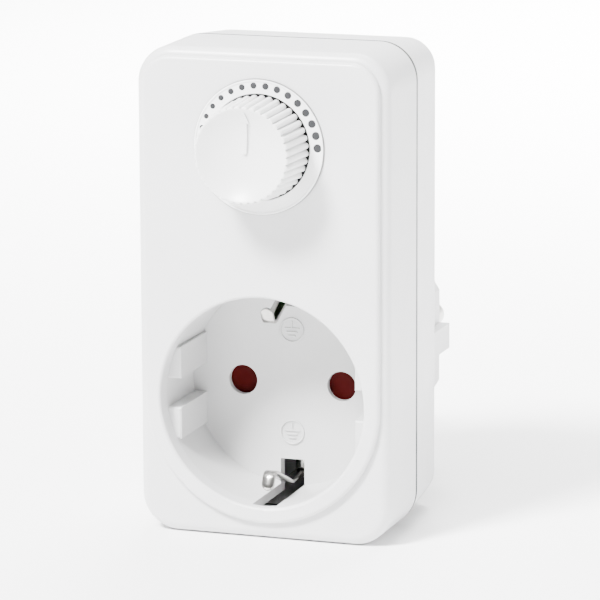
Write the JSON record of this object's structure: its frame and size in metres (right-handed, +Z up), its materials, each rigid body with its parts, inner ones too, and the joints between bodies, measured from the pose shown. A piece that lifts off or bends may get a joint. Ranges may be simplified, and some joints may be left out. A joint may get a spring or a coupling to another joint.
{
  "type": "plug-in dimmer",
  "caption": "Upright white plug-in lamp dimmer: ribbed turning knob over a recessed earthed socket with shutter, and an earthed plug on the back.",
  "frame": {"origin": "on the plug's axis, at the collar's ring face that meets the wall socket", "axes": "+X right as seen from the front, +Y back into the wall along the plug pins, +Z up"},
  "size_m": [0.0474, 0.0861, 0.089],
  "materials": {
    "shell": "satin moulded white",
    "cup": "satin moulded white",
    "dial": "bright white",
    "knob": "satin moulded white",
    "shutter": "dark red moulded",
    "carrier": "grey moulded",
    "plated": "nickel plated",
    "brass": "drawn brass",
    "steel": "zinc plated",
    "board": "laminate",
    "black": "moulded black",
    "sink": "plain sheet",
    "core": "coated iron powder",
    "copper": "enamelled copper",
    "film": "moulded case",
    "blue": "dipped coating",
    "beige": "painted ceramic",
    "glass": "clear",
    "wire": "insulation"
  },
  "bodies": {
    "housing": {"front_shell": "shell", "rear_shell": "shell", "plug_body": "shell", "socket_cup": "cup", "dial_disc": "dial", "shutter_spring": "steel", "contact_carrier": "carrier", "live_socket_contact": "brass", "neutral_socket_contact": "brass", "earth_strap": "plated", "strap_rivets": "brass", "live_pin": "plated", "neutral_pin": "plated", "neutral_link": "brass", "plug_earth_contact": "plated", "earth_pin_socket": "brass", "earth_link": "brass", "pot_bush": "brass", "pot_nut": "steel", "pot_body": "steel", "pot_cover": "beige", "circuit_board": "board", "board_screws": "steel", "housing_screws": "steel", "choke_core": "core", "choke_winding": "copper", "heat_sink": "sink", "power_switch": "black", "film_capacitor": "film", "timing_capacitor": "film", "surge_disc": "blue", "resistors": "beige", "trigger_diode": "blue", "fuse_tube": "glass", "fuse_caps": "plated", "fuse_clips": "steel", "feed_wire": "wire", "switched_wire": "wire"},
    "knob": {"knob": "knob", "pot_shaft": "beige"},
    "shutter": {"shutter": "shutter"}
  },
  "joints": [
    {"name": "knob_turn", "type": "hinge", "parent": "housing", "child": "knob", "pos_m": [0, -0.043, 0.0445], "axis": [0, 1, 0], "range_deg": [-90, 90]},
    {"name": "shutter_turn", "type": "hinge", "parent": "housing", "child": "shutter", "pos_m": [0, -0.0195, -0.002], "axis": [0, 1, 0], "range_deg": [0, 38], "stiffness_Nm_per_rad": 0.004}
  ]
}
